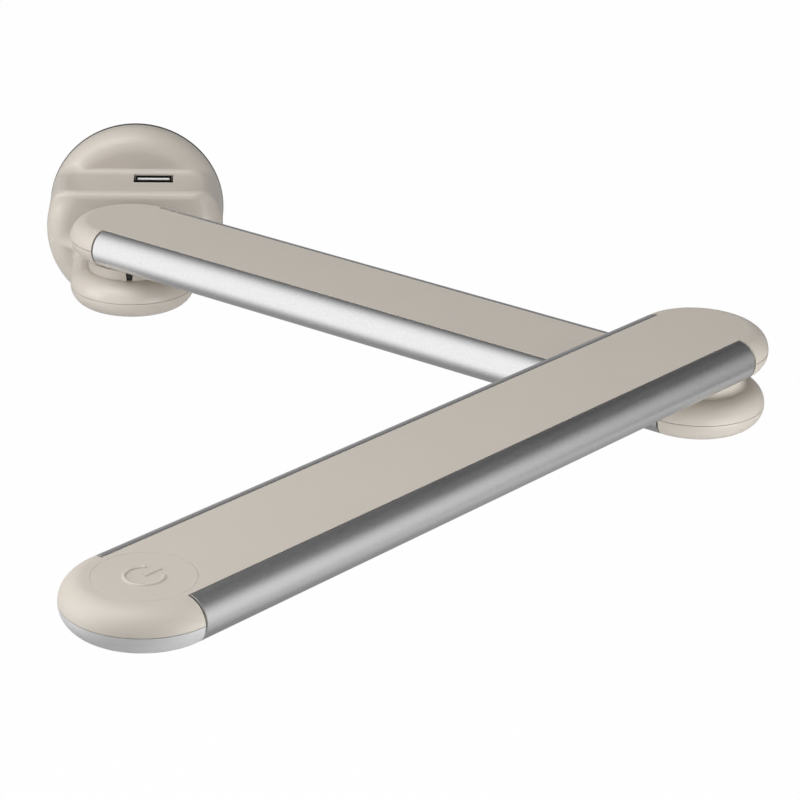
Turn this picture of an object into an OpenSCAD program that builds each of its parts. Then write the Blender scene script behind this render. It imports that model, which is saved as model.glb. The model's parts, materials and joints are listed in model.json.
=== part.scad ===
/* [Arms] */
// Shoulder pivot to elbow pivot
lower_arm_l = 224; // [180:5:320]
// Elbow pivot to the centre of the round tip
light_arm_l = 230; // [180:5:320]
// Width of both arms
arm_w = 42; // [41:0.5:50]
// Thickness of both arms and of the knuckle
arm_t = 12.4; // [12.4:0.2:14.4]
// Middle of the knuckle to middle of the lower arm, and from there to the middle of the light arm
joint_pitch = 17.2; // [17.2:0.2:22]
// Wall of the moulded shells
shell_wall = 1.6; // [1.2:0.1:1.6]
// Parting line of the shells above the middle of an arm
parting_h = 0.2; // [0:0.1:1.4]
// Gap that shows along a parting line
parting_gap = 0.15; // [0.05:0.05:0.3]
// Gap between a rail's end and the round cap next to it
rail_end_gap = 0.4; // [0.1:0.05:0.6]
// Direction of the lower arm as drawn, from +X
shoulder_deg = -39.3; // [-180:0.1:0]
// Direction of the light arm as drawn, from the lower arm's
elbow_deg = -94.8; // [-180:0.1:0]

/* [Aluminium rails and cores] */
// Wall of a rail at its outer side
rail_wall = 1.3; // [1:0.1:1.8]
// How far a rail reaches in under the shells
rail_foot = 2; // [1.4:0.1:2.4]
// Thickness of the channel's floor in a core
core_web_t = 2; // [1.6:0.1:2.2]
// Thickness of the channel's sides in a core
core_side_t = 1.4; // [1:0.1:2]
// Distance from a pivot to the start of the channel
channel_in = 12; // [9:0.5:14]

/* [Wall base] */
// Radius of the round base
base_r = 31; // [30:0.2:36]
// Depth of the lower, deeper part of the base
base_depth = 31.5; // [30:0.5:40]
// Depth of the part above the shelf
upper_depth = 10.5; // [10:0.5:12]
// Shelf above the centre of the base
shelf_h = 15.8; // [15:0.2:18]
// Rounding of the deep part's front rim
rim_round = 7.5; // [5:0.5:10]
// Rounding of the upper part's front rim
upper_round = 7.5; // [4:0.5:8]
// Rounding of the shelf's front edge
shelf_round = 3; // [1:0.2:4]
// Fillet in the shelf's inner corner
shelf_fillet = 2.4; // [1:0.2:4]
// Wall of the base
base_wall = 2.2; // [1.8:0.1:2.4]
// Knuckle's radius beyond half the width of the arms
knuckle_over = 0.3; // [0.1:0.1:1.5]
// Gap between the lower arm's round end and the base's face
base_gap = 2.1; // [1.5:0.1:8]
// Middle of the lower arm above the centre of the base
arm_rise = 8; // [6:0.5:9]
// Fillet between the knuckle's top and the base's face
neck_fillet = 7.6; // [3:0.2:7.6]

/* [Wall plate] */
// Radius of the plate's flange, which shows as a fine line behind the base
plate_r = 30.6; // [29:0.2:36]
// Thickness of the flange
plate_flange_t = 1.2; // [1:0.1:2]
// Thickness of the plate inside the base, with its flange
plate_t = 3; // [2.4:0.2:4]
// Distance between the two wall screws
wall_screw_spacing = 40; // [36:1:44]
// Radius of the wall screws' holes
wall_screw_r = 2.25; // [1.75:0.25:2.75]
// Radius of the hole where the supply lead comes in
entry_r = 5; // [3:0.5:7]

/* [Charging port] */
// Middle of the port to the right of the base's centre
port_x = 6.4; // [4:0.2:6.4]
// Width of the cut-out in the shelf
port_w = 13.9; // [13.7:0.1:14.5]
// Depth of the cut-out, away from the wall
port_d = 8.4; // [6.4:0.1:8.6]
// Upper face to the near edge of the cut-out
port_in = 1.5; // [1.3:0.1:3]
// Height of the port's metal shell
port_l = 14; // [12:0.5:15]

/* [Hinges] */
// Radius of the collars beyond the flat top of an arm
collar_over = 0.2; // [-1.5:0.1:1.5]
// Radius of a shaft inside its bush
shaft_r = 5; // [4.6:0.1:5.2]
// Radius of a shaft below its seat
shaft_seat_r = 6.5; // [6.2:0.1:7]
// Radius of the hole up a shaft for the lead
shaft_bore_r = 3.2; // [2.6:0.1:3.4]
// Radial gap between a shaft and its bush
running_gap = 0.05; // [0.02:0.01:0.1]
// Hub at a core's end, inside the core's side
hub_inset = 1.6; // [0.8:0.1:2.4]
// Thickness of a hub
hub_t = 3; // [2.6:0.1:3.2]
// Radius of the lead
lead_r = 0.9; // [0.6:0.1:1]

/* [Light] */
// Elbow pivot to the start of the diffuser
hinge_cover_l = 34; // [32:1:50]
// Distance between lights along a row
led_pitch = 7.5; // [5:0.5:15]
// Number of rows of lights
led_rows = 2; // [1:1:3]
// Light board's edge, inside the core's side
led_inset = 5.6; // [5.2:0.1:8]

/* [Power button] */
// Width of the flat ring round the button
button_rim = 1.8; // [1.4:0.1:3.5]
// Gap round the button
button_gap = 0.14; // [0.08:0.02:0.3]
// How far the button goes down
button_travel = 0.5; // [0.3:0.1:0.6]
// Radius of the raised power ring, to the middle of its line
symbol_r = 4.7; // [3:0.1:8]
// Width of the symbol's line
symbol_w = 0.8; // [0.4:0.1:1.4]

/* [Hidden] */
$fn = 96;

// Overrun of every cut, and a reach longer than any piece
cut = 1;
reach = lower_arm_l + light_arm_l;
// Gap between pieces of one body that are pushed or screwed together
fit_gap = 0.05;
// Gap along the rails and the shells between them
seam = 0.08;
// Radial gap between an arm's shell and the shaft that it turns round
shell_hole_gap = 0.5;

// Section of an arm, seen along it
half_w = arm_w / 2;
half_t = arm_t / 2;
flat_half = half_w - half_t;
inner_h = half_t - shell_wall;
strip_w = 2 * (flat_half - seam);
// How far a strip between the rails runs into the round caps
strip_sink = 1;
core_gap = 0.2;
core_half = flat_half - rail_foot - core_gap;
hub_r = core_half - hub_inset;
rail_void_shift = 0.9;
rail_void_r = half_t - rail_wall - rail_void_shift;
rail_foot_wall = 1.2;

// Hinge stack, as heights above the middle of the arm that turns
shaft_flange_t = 1.4;
shaft_flange_r = 8.6;
thrust_t = 0.45;
friction_t = 0.4;
spring_h = 0.55;
spring_t = 0.3;
nut_t = 1.6;
nut_r = 7.6;
washer_r = 8.4;
hub_z = -inner_h + 2 * fit_gap + shaft_flange_t;
seat_z = hub_z - fit_gap - thrust_t;
hub_top = hub_z + hub_t;
friction_z = hub_top + fit_gap;
spring_z = friction_z + friction_t;
nut_z = spring_z + spring_h;
shaft_top = nut_z + nut_t;
lead_gap = 0.1;
lead_z = shaft_top + lead_r + lead_gap;
lead_bend = 3;
lead_end_gap = 0.3;
lead_window_r = lead_r + 2 * lead_gap;

// Light arm's channel floor, which carries the light board under it
light_web_overlap = 1.1;
light_web_z = hub_top - light_web_overlap;

// Screws: M3 shank and head, and the holes and bosses for them
screw_r = 1.4;
screw_head_r = 2.6;
screw_head_h = 1.4;
screw_sink = 0.3;
screw_clear_r = 1.6;
screw_thread_gap = 0.05;
boss_r = 2.8;
boss_gap = 0.4;
arm_screw_in = 26;
arm_screw_y = core_half - 2 * boss_r;
core_screw_in = 40;
neck_run = 4;

// Knuckle, with the shoulder's axis in front of the base
knuckle_r = half_w + knuckle_over;
knuckle_out = half_w + base_gap;
pivot_out = base_depth + knuckle_out;
knuckle_z = arm_rise - joint_pitch;
knuckle_flat = knuckle_r - half_t;
knuckle_screw_in = 0.5;
knuckle_screw_out = knuckle_flat - knuckle_screw_in;
knuckle_screw_deg = 75;
knuckle_boss_low = sqrt(pow(inner_h, 2) - pow(boss_r - knuckle_screw_in, 2)) - fit_gap;
bracket_t = 2.5;
bracket_half_w = hub_r;
bracket_top = inner_h - 2 * fit_gap;
bracket_back = 4;
bracket_edge = 0.7;
bracket_leg_h = 18;
bracket_screw_x = bracket_half_w - boss_r - bracket_edge;
bracket_screw_drop = 10;
bracket_hole_r = 2.4;
cover_end_gap = 0.2;
low_lead_gap = 1;
low_lead_h = inner_h - lead_r - low_lead_gap;

// Collars: each stands on the lower piece, and a ring under the piece above turns on it
collar_hole_r = shaft_seat_r + fit_gap;
collar_gap = 0.25;
collar_r = flat_half + collar_over;
collar_edge = 0.5;
turn_ring_h = 0.9;
turn_ring_step = 1;
turn_ring_r = collar_r - turn_ring_step;
collar_h = joint_pitch - arm_t - turn_ring_h - collar_gap;
notch_w = 2.9;
notch_foot_w = 1.8;
notch_deg = 178;
notch_deep = 2.2;
stop_back = 0.7;

// Inside of the base
inner_r = base_r - base_wall;
plate_gap = 0.2;
spigot_gap = 0.4;
spigot_r = inner_r - spigot_gap;
lug_w = 8;
lug_in = 6;
lug_depth = 10;
lug_hole_depth = 6.4;
lug_degs = [-60, -120];
lug_r = sqrt(pow(spigot_r, 2) - pow(lug_w / 2, 2)) - fit_gap;
board_t = 1.6;
port_shell_w = 13.1;
port_shell_d = 5.8;
port_shell_wall = 0.4;
port_recess = 0.2;
port_back_gap = 0.3;
slot_y = upper_depth + port_in;
port_y = slot_y + port_back_gap + port_shell_d / 2;
supply_face = port_y - port_shell_d / 2;
supply_half_w = 19;
supply_low = -20;
supply_high = 11;
supply_screw_x = 16;
supply_screw_z = -1;

port_foot_h = 3.4;
tongue_w = 11.2;
tongue_t = 1.8;
tongue_in = 0.7;
tongue_recess = 0.5;
contact_recess = 1.5;
contact_count = 4;
contact_pitch = 2.5;
contact_w = 1;
contact_t = 0.15;
capacitor_r = 3.2;
capacitor_gap = 0.4;
capacitor_x = bracket_half_w + capacitor_r + capacitor_gap;
capacitor_drop = 9;
capacitor_l = 6;
capacitor_edge = 0.4;
capacitor_groove_h = 1.2;
coil_x = 10;
coil_rise = 4;
coil_r = 4.2;
coil_l = 6;
coil_flange_t = 1;
terminal_w = 11;
terminal_d = 7;
terminal_h = 8;
terminal_edge = 1;
terminal_hole_r = 1.2;
lead_meet_z = hub_z;

// Light board, under the light arm's channel
led_board_w = 2 * (core_half - led_inset);
led_board_t = 1;
led_board_edge = 3;
led_l = 2.8;
led_w = led_board_w / led_rows / 2;
led_h = 0.65;

// Tip of the light arm
control_t = 1.2;
light_channel_gap = 2;
control_top = light_web_z + control_t;
button_r = flat_half - button_rim;
control_back = button_r + 5;
control_half_w = core_half - core_gap;
light_channel_end = light_arm_l - control_back - light_channel_gap;
led_board_end = light_arm_l - control_back + 2 * led_board_edge;
control_screw_in = button_r + 3;
control_screw_y = core_half - boss_r - 2 * fit_gap;
control_screw_places = [for (side = [-1, 1]) [light_arm_l - control_screw_in, side * control_screw_y]];
connector_in = button_r + 4.2;
connector_l = 2.6;
connector_w = 5;
tact_w = 6;
tact_h = 3;
tact_plunger_r = 1.7;
button_lip = 0.9;
button_lip_t = 0.55;
button_nub_r = 2.2;
button_nub_h = 0.15;
button_low = inner_h - fit_gap - button_lip_t;
button_step = inner_h + button_travel + 2 * fit_gap;
symbol_h = 0.12;
symbol_gap_deg = 82;
symbol_stem_share = 1.14;

// Frames: the knuckle's local +X points at the wall, an arm's local +X along the arm
module in_wall() rotate([90, 0, 0]) children();
module at_knuckle() translate([0, -pivot_out, knuckle_z]) rotate([0, 0, 90]) children();
module at_shoulder() translate([0, -pivot_out, arm_rise]) rotate([0, 0, shoulder_deg]) children();
module at_elbow() at_shoulder() translate([lower_arm_l, 0, joint_pitch]) children();
module at_light_arm() at_elbow() rotate([0, 0, elbow_deg]) children();

// Parts of a flat shape
module above(h) intersection() {
    children();
    translate([-reach, h]) square([2 * reach, reach]);
}
module below(h) intersection() {
    children();
    translate([-reach, h - reach]) square([2 * reach, reach]);
}
module right_half() intersection() {
    children();
    translate([0, -reach]) square([reach, 2 * reach]);
}

// Solids from flat shapes: a run along +X, and the round ends before x = 0 and after x = len
module along_x(len) rotate([90, 0, 90]) linear_extrude(len) children();
module near_cap() rotate([0, 0, 90]) rotate_extrude(angle = 180) right_half() children();
module far_cap(len) translate([len, 0, 0]) rotate([0, 0, -90]) rotate_extrude(angle = 180)
    right_half() children();
module at_z(z) translate([0, 0, z]) children();
module ring(r_out, r_in, h) difference() {
    cylinder(r = r_out, h = h);
    translate([0, 0, -cut]) cylinder(r = r_in, h = h + 2 * cut);
}

// A flat bar's section with full round edges
module bar_section(w, t) {
    square([2 * (w - t), 2 * t], center = true);
    for (side = [-1, 1]) translate([side * (w - t), 0]) circle(t);
}
module arm_shell_section(w) difference() {
    bar_section(w, half_t);
    bar_section(w - shell_wall, inner_h);
}
// A rectangle from the origin whose far corner is round
module soft_corner(w, h, r) difference() {
    square([w, h]);
    difference() {
        translate([w - r, h - r]) square(r + cut);
        translate([w - r, h - r]) circle(r);
    }
}
// A fillet that fills an inner corner at the origin
module fillet(r, sink) difference() {
    translate([-sink, -sink]) square(r + sink);
    translate([r, r]) circle(r);
}

// A countersunk screw that points up from a face at z = 0, and the hole for it
module screw(len) at_z(screw_sink) {
    cylinder(r1 = screw_head_r, r2 = screw_r, h = screw_head_h);
    at_z(screw_head_h) cylinder(r = screw_r, h = len - screw_sink - screw_head_h);
}
module screw_hole(len) {
    at_z(-cut) cylinder(r = screw_head_r + fit_gap, h = cut + screw_sink);
    at_z(screw_sink) cylinder(r1 = screw_head_r + fit_gap, r2 = screw_clear_r, h = screw_head_h);
    at_z(-cut) cylinder(r = screw_clear_r, h = len + 2 * cut);
}
// A pan head screw that points up, the underside of its head at z = 0
module pan_screw(len) {
    at_z(-screw_head_h) cylinder(r = screw_head_r, h = screw_head_h);
    cylinder(r = screw_r, h = len);
}
module screw_boss(h) ring(boss_r, screw_r + screw_thread_gap, h);

// Where the long screws of an arm stand
function arm_screws(xs) = [for (x = xs) for (side = [-1, 1]) [x, side * arm_screw_y]];
lower_arm_screw_places = arm_screws([arm_screw_in, lower_arm_l - arm_screw_in]);
hinge_cover_screw_places = arm_screws([arm_screw_in]);
core_screw_places = arm_screws([light_arm_l - core_screw_in]);
module stand_at(places) for (p = places) translate(p) children();

// Wall base
module wall_plate() color("dimgray") difference() {
    union() {
        in_wall() cylinder(r = plate_r, h = plate_flange_t);
        in_wall() cylinder(r = spigot_r, h = plate_t);
        for (deg = lug_degs) rotate([0, -deg, 0])
            translate([lug_r - lug_in, -lug_depth, -lug_w / 2]) cube([lug_in, lug_depth - plate_flange_t, lug_w]);
    }
    for (side = [-1, 1]) translate([side * wall_screw_spacing / 2, cut, 0])
        in_wall() cylinder(r = wall_screw_r, h = plate_t + 2 * cut);
    translate([0, cut, 0]) in_wall() cylinder(r = entry_r, h = plate_t + 2 * cut);
    for (deg = lug_degs) rotate([0, -deg, 0]) translate([lug_r - lug_in - cut, -lug_hole_depth, 0])
        rotate([0, 90, 0]) cylinder(r = screw_r + screw_thread_gap, h = lug_in + 2 * cut);
}

// The base's outer form or its inside: wall is how far it lies inside the outer form
module base_form(wall) {
    back = wall > 0 ? -cut : plate_flange_t + plate_gap;
    intersection() {
        in_wall() at_z(back) rotate_extrude()
            soft_corner(base_r - wall, base_depth - wall - back, rim_round - wall);
        rotate([90, 0, -90]) linear_extrude(2 * reach, center = true)
            translate([-reach, -reach]) soft_corner(reach + base_depth - wall, reach + shelf_h - wall,
                wall > 0 ? shelf_round / 2 : shelf_round);
    }
    in_wall() at_z(back) rotate_extrude()
        soft_corner(base_r - wall, upper_depth - wall - back, upper_round - wall);
    if (wall == 0) intersection() {
        in_wall() cylinder(r = base_r - upper_round, h = base_depth);
        translate([0, -upper_depth, shelf_h]) rotate([90, 0, -90])
            linear_extrude(2 * reach, center = true) fillet(shelf_fillet, shell_wall);
    }
}
module knuckle_run(len) {
    near_cap() children();
    along_x(len) children();
}
module base_housing() color("tan") {
    difference() {
        union() {
            base_form(0);
            at_knuckle() knuckle_run(knuckle_out + base_wall) above(parting_h)
                bar_section(knuckle_r, half_t);
            translate([0, -base_depth, knuckle_z + half_t]) rotate([90, 0, -90])
                linear_extrude(2 * knuckle_flat, center = true) fillet(neck_fillet, shell_wall);
        }
        base_form(base_wall);
        at_knuckle() knuckle_run(knuckle_out + base_wall + cut)
            bar_section(knuckle_r - shell_wall, inner_h);
        at_knuckle() cylinder(r = shaft_seat_r + fit_gap, h = arm_t);
        translate([port_x - port_w / 2, -slot_y - port_d, shelf_h - 2 * base_wall])
            cube([port_w, port_d, 3 * base_wall]);
        cover_screw_places() screw_hole(base_wall);
    }
    at_knuckle() knuckle_screw_places() at_z(-knuckle_boss_low)
        screw_boss(knuckle_boss_low + inner_h + fit_gap);
    bracket_screw_places() in_wall() at_z(-bracket_back) screw_boss(bracket_back + fit_gap);
    supply_screw_places() in_wall() screw_boss(base_depth - base_wall - supply_face + fit_gap);
}
module cover_screw_places() for (deg = lug_degs) rotate([0, -deg, 0])
    translate([base_r, -lug_hole_depth, 0]) rotate([0, -90, 0]) children();
module knuckle_screw_places() for (deg = [180, knuckle_screw_deg, -knuckle_screw_deg])
    rotate([0, 0, deg]) translate([knuckle_screw_out, 0, 0]) children();
module bracket_screw_places() for (side = [-1, 1])
    translate([side * bracket_screw_x, -base_depth + base_wall, knuckle_z - bracket_screw_drop]) children();
module supply_screw_places() for (side = [-1, 1])
    translate([side * supply_screw_x, -supply_face, supply_screw_z]) children();

module knuckle_cover() color("tan") at_knuckle() difference() {
    knuckle_run(knuckle_out - cover_end_gap) below(parting_h - parting_gap) arm_shell_section(knuckle_r);
    knuckle_screw_places() at_z(-half_t) screw_hole(shell_wall);
}
module knuckle_screws() color("silver") at_knuckle() knuckle_screw_places()
    at_z(-half_t) screw(half_t + inner_h - boss_gap);

module pivot_bracket() color("lightslategray") difference() {
    leg_back = base_depth - base_wall - bracket_back;
    union() {
        at_knuckle() at_z(bracket_top - bracket_t) {
            cylinder(r = bracket_half_w, h = bracket_t);
            translate([0, -bracket_half_w, 0])
                cube([knuckle_out + base_wall + bracket_back + bracket_t, 2 * bracket_half_w, bracket_t]);
        }
        translate([-bracket_half_w, -leg_back, knuckle_z + bracket_top - bracket_leg_h])
            cube([2 * bracket_half_w, bracket_t, bracket_leg_h]);
    }
    at_knuckle() at_z(-arm_t) cylinder(r = shaft_seat_r + fit_gap / 2, h = 2 * arm_t);
    translate([0, -leg_back - cut, knuckle_z - low_lead_h]) rotate([-90, 0, 0])
        cylinder(r = bracket_hole_r, h = bracket_t + 2 * cut);
    bracket_screw_places() translate([0, bracket_back - cut, 0]) rotate([-90, 0, 0])
        cylinder(r = screw_clear_r, h = bracket_t + 2 * cut);
}
module bracket_screws() color("silver") bracket_screw_places()
    translate([0, bracket_back + bracket_t, 0]) in_wall()
        pan_screw(bracket_t + bracket_back - boss_gap);
module supply_board_screws() color("silver") supply_screw_places()
    translate([0, board_t, 0]) in_wall() pan_screw(board_t + bracket_back);
module cover_screws() color("silver") cover_screw_places() screw(base_wall + lug_in);

// Charging port, mouth up, on the front of the supply board
module at_port() translate([port_x, -port_y, shelf_h - port_recess - port_l]) children();
module port_block(shrink, low, high)
    translate([-port_shell_w / 2 + shrink, -port_shell_d / 2 + shrink, low])
        cube([port_shell_w - 2 * shrink, port_shell_d - 2 * shrink, high - low]);
module port_shell() color("silver") at_port() difference() {
    port_block(0, 0, port_l);
    port_block(port_shell_wall, port_shell_wall, port_l + cut);
}
module port_tongue() color("whitesmoke") at_port() {
    port_block(port_shell_wall + fit_gap, port_shell_wall, port_foot_h);
    translate([-tongue_w / 2, port_shell_d / 2 - port_shell_wall - tongue_in - tongue_t, port_foot_h - cut])
        cube([tongue_w, tongue_t, port_l - tongue_recess - port_foot_h + cut]);
}
module port_contacts() color("gold") at_port() for (i = [0:contact_count - 1])
    translate([(i - (contact_count - 1) / 2) * contact_pitch - contact_w / 2,
        port_shell_d / 2 - port_shell_wall - tongue_in - tongue_t - contact_t, port_foot_h])
        cube([contact_w, contact_t, port_l - tongue_recess - contact_recess - port_foot_h]);

// Supply board and what it carries
module supply_board() color("darkgreen") difference() {
    translate([-supply_half_w, -supply_face, supply_low])
        cube([2 * supply_half_w, board_t, supply_high - supply_low]);
    supply_screw_places() translate([0, -cut, 0]) rotate([-90, 0, 0])
        cylinder(r = screw_clear_r, h = board_t + 2 * cut);
}
module supply_capacitor() color("midnightblue") translate([-capacitor_x, -supply_face, -capacitor_drop])
    in_wall() rotate_extrude() difference() {
        soft_corner(capacitor_r, capacitor_l, capacitor_edge);
        translate([capacitor_r, capacitor_groove_h]) circle(capacitor_edge);
    }
module supply_coil() color("darkgoldenrod") translate([-coil_x, -supply_face, coil_rise])
    in_wall() {
        cylinder(r = coil_r, h = coil_flange_t);
        cylinder(r = coil_r - coil_flange_t, h = coil_l);
        at_z(coil_l - coil_flange_t) cylinder(r = coil_r, h = coil_flange_t);
    }
module terminal_block() color("forestgreen") difference() {
    translate([-terminal_w / 2, -supply_face + board_t, supply_low + terminal_edge])
        cube([terminal_w, terminal_d, terminal_h]);
    for (side = [-1, 1]) translate([side * terminal_w / 4, -supply_face + board_t + terminal_d / 2,
        supply_low + terminal_edge + terminal_h / 2]) cylinder(r = terminal_hole_r, h = terminal_h);
}

// Lead, as straight runs and quarter turns: a turn at deg starts at that angle of its circle
module lead_run(len) cylinder(r = lead_r, h = len);
module lead_turn(deg) rotate([90, 0, 0]) rotate([0, 0, deg]) rotate_extrude(angle = 90)
    translate([lead_bend, 0]) circle(lead_r);
// Up out of a shaft, over its nut and along the arm as far as x = end
module lead_from_shaft(start, end) {
    at_z(start) lead_run(lead_z - lead_bend - start);
    translate([lead_bend, 0, lead_z - lead_bend]) lead_turn(90);
    translate([lead_bend, 0, lead_z]) rotate([0, 90, 0]) lead_run(end - lead_bend);
}
module feed_lead() color("dimgray") at_knuckle() {
    translate([lead_bend, 0, -low_lead_h]) rotate([0, 90, 0]) lead_run(pivot_out - supply_face - lead_bend);
    translate([lead_bend, 0, lead_bend - low_lead_h]) lead_turn(180);
    at_z(lead_bend - low_lead_h) lead_run(joint_pitch + lead_meet_z - lead_bend + low_lead_h);
}
module lower_arm_lead() color("dimgray") at_shoulder() {
    lead_from_shaft(lead_meet_z + lead_end_gap, lower_arm_l - lead_bend);
    translate([lower_arm_l - lead_bend, 0, lead_z + lead_bend]) lead_turn(-90);
    translate([lower_arm_l, 0, lead_z + lead_bend])
        lead_run(joint_pitch + lead_meet_z - lead_z - lead_bend);
}
module light_arm_lead() color("dimgray") at_light_arm()
    lead_from_shaft(lead_meet_z + lead_end_gap, light_arm_l - connector_in);

// Hinges: a hollow shaft with a flange, and what it carries, at the heights of the arm that turns
module hinge_shaft(flange_top, pitch) difference() {
    union() {
        at_z(flange_top - shaft_flange_t) cylinder(r = shaft_flange_r, h = shaft_flange_t);
        at_z(flange_top) cylinder(r = shaft_seat_r, h = pitch + seat_z - flange_top);
        at_z(flange_top) cylinder(r = shaft_r, h = pitch + shaft_top - flange_top);
    }
    at_z(flange_top - shaft_flange_t - cut)
        cylinder(r = shaft_bore_r, h = pitch + shaft_top - flange_top + shaft_flange_t + 2 * cut);
}
module hinge_bush() at_z(hub_z) ring(shaft_seat_r, shaft_r + running_gap, hub_t);
module thrust_washer() at_z(seat_z) ring(washer_r, shaft_r + running_gap, thrust_t);
module friction_washer() at_z(friction_z) ring(washer_r, shaft_r + running_gap, friction_t);
module disc_spring() at_z(spring_z) rotate_extrude() polygon([
    [shaft_r + running_gap, spring_h - spring_t],
    [washer_r, 0],
    [washer_r, spring_t],
    [shaft_r + running_gap, spring_h]]);
module hinge_nut() at_z(nut_z) difference() {
    cylinder(r = nut_r, h = nut_t, $fn = 6);
    at_z(-cut) cylinder(r = shaft_r + screw_thread_gap, h = nut_t + 2 * cut);
}
module collar() rotate_extrude() translate([collar_hole_r, 0])
    soft_corner(collar_r - collar_hole_r, collar_h, collar_edge);
// A wedge that is wider at its top, from radius r_in to r_out
module notch_wedge(r_in, r_out, gap) translate([r_in, 0, 0]) rotate([90, 0, 90])
    linear_extrude(r_out - r_in) polygon([
        [-notch_foot_w / 2 + gap, gap],
        [notch_foot_w / 2 - gap, gap],
        [notch_w / 2 - gap, collar_h + gap],
        [-notch_w / 2 + gap, collar_h + gap]]);
module at_notch() translate([0, 0, half_t]) rotate([0, 0, notch_deg]) children();

module shoulder_shaft() color("silver") at_knuckle() hinge_shaft(bracket_top - bracket_t, joint_pitch);
module shoulder_collar() color("tan") at_knuckle() difference() {
    at_z(half_t) collar();
    at_notch() notch_wedge(collar_r - notch_deep, collar_r + cut, 0);
}
module collar_stop() color("black") at_knuckle() at_notch() intersection() {
    notch_wedge(collar_r - notch_deep, collar_r - stop_back, fit_gap);
    cylinder(r = collar_r, h = collar_h);
}
module shoulder_thrust_washer() color("ivory") at_shoulder() thrust_washer();
module shoulder_friction_washer() color("darkgoldenrod") at_shoulder() friction_washer();
module shoulder_disc_spring() color("silver") at_shoulder() disc_spring();
module shoulder_nut() color("silver") at_shoulder() hinge_nut();
module shoulder_bush() color("peru") at_shoulder() hinge_bush();
module elbow_shaft() color("silver") at_shoulder() translate([lower_arm_l, 0, 0]) difference() {
    hinge_shaft(hub_z, joint_pitch);
    at_z(lead_z) rotate([0, -90, 0]) cylinder(r = lead_window_r, h = shaft_seat_r + cut);
}
module elbow_collar() color("tan") at_shoulder() translate([lower_arm_l, 0, half_t]) collar();
module elbow_thrust_washer() color("ivory") at_elbow() thrust_washer();
module elbow_friction_washer() color("darkgoldenrod") at_elbow() friction_washer();
module elbow_disc_spring() color("silver") at_elbow() disc_spring();
module elbow_nut() color("silver") at_elbow() hinge_nut();
module elbow_bush() color("peru") at_light_arm() hinge_bush();

// Pieces that both arms have
module rail_section() difference() {
    union() {
        translate([flat_half, 0]) right_half() circle(half_t);
        translate([flat_half - rail_foot, fit_gap - inner_h]) square([rail_foot + cut, 2 * (inner_h - fit_gap)]);
    }
    translate([flat_half + rail_void_shift, 0]) intersection() {
        circle(rail_void_r);
        translate([rail_foot_wall - rail_foot - rail_void_shift, -reach]) square([reach, 2 * reach]);
    }
}
module rail(len, side) translate([rail_end_gap, 0, 0]) along_x(len - 2 * rail_end_gap)
    rotate(side > 0 ? 0 : 180) rail_section();
module core_section(web_z) {
    translate([-core_half, web_z]) square([2 * core_half, core_web_t]);
    for (side = [-1, 1]) translate([side * (core_half - core_side_t / 2) - core_side_t / 2, web_z])
        square([core_side_t, inner_h - fit_gap - web_z]);
}
// A hub at x = 0 and its neck, which runs into the channel
module core_hub() at_z(hub_z) {
    cylinder(r = hub_r, h = hub_t);
    translate([0, -hub_r, 0]) cube([channel_in + neck_run, 2 * hub_r, hub_t]);
}
module bush_hole() at_z(hub_z - cut) cylinder(r = shaft_seat_r + fit_gap / 2, h = hub_t + 2 * cut);
module screw_clearance(places) stand_at(places) at_z(-half_t) cylinder(r = screw_clear_r, h = arm_t);
module strip(start, end, low) translate([start, 0, 0]) along_x(end - start)
    translate([-strip_w / 2, low]) square([strip_w, shell_wall]);
module upper_section() above(parting_h) arm_shell_section(half_w);
module lower_section() below(parting_h - parting_gap) arm_shell_section(half_w);
module bosses(places, low) stand_at(places) at_z(low + fit_gap) screw_boss(inner_h - low);
module spacers(places, top) stand_at(places) at_z(-inner_h - fit_gap)
    cylinder(r = boss_r, h = top + inner_h);
module turn_ring() at_z(-half_t - turn_ring_h) cylinder(r = turn_ring_r, h = turn_ring_h + fit_gap);
module turning_hole() at_z(-half_t - turn_ring_h - cut)
    cylinder(r = shaft_seat_r + shell_hole_gap, h = turn_ring_h + shell_wall + 2 * cut);

// Lower arm
module lower_arm_core() color("lightslategray") at_shoulder() difference() {
    union() {
        translate([channel_in, 0, 0]) along_x(lower_arm_l - 2 * channel_in) core_section(hub_z);
        core_hub();
        translate([lower_arm_l, 0, 0]) rotate([0, 0, 180]) core_hub();
    }
    bush_hole();
    translate([lower_arm_l, 0, 0]) bush_hole();
    screw_clearance(lower_arm_screw_places);
}
module lower_arm_top_shell() color("tan") at_shoulder() difference() {
    union() {
        near_cap() upper_section();
        far_cap(lower_arm_l) upper_section();
        strip(-strip_sink, lower_arm_l + strip_sink, inner_h);
        bosses(lower_arm_screw_places, hub_z + core_web_t);
    }
    translate([lower_arm_l, 0, 0]) cylinder(r = collar_hole_r, h = arm_t);
}
module lower_arm_bottom_shell() color("tan") at_shoulder() difference() {
    union() {
        near_cap() lower_section();
        far_cap(lower_arm_l) lower_section();
        strip(-strip_sink, lower_arm_l + strip_sink, -half_t);
        spacers(lower_arm_screw_places, hub_z);
        turn_ring();
    }
    turning_hole();
    stand_at(lower_arm_screw_places) at_z(-half_t) screw_hole(hub_z + half_t);
}
module lower_arm_front_rail() color("silver") at_shoulder() rail(lower_arm_l, -1);
module lower_arm_rear_rail() color("silver") at_shoulder() rail(lower_arm_l, 1);
module lower_arm_screws() color("gray") at_shoulder() stand_at(lower_arm_screw_places)
    at_z(-half_t) screw(half_t + inner_h - boss_gap);

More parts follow.
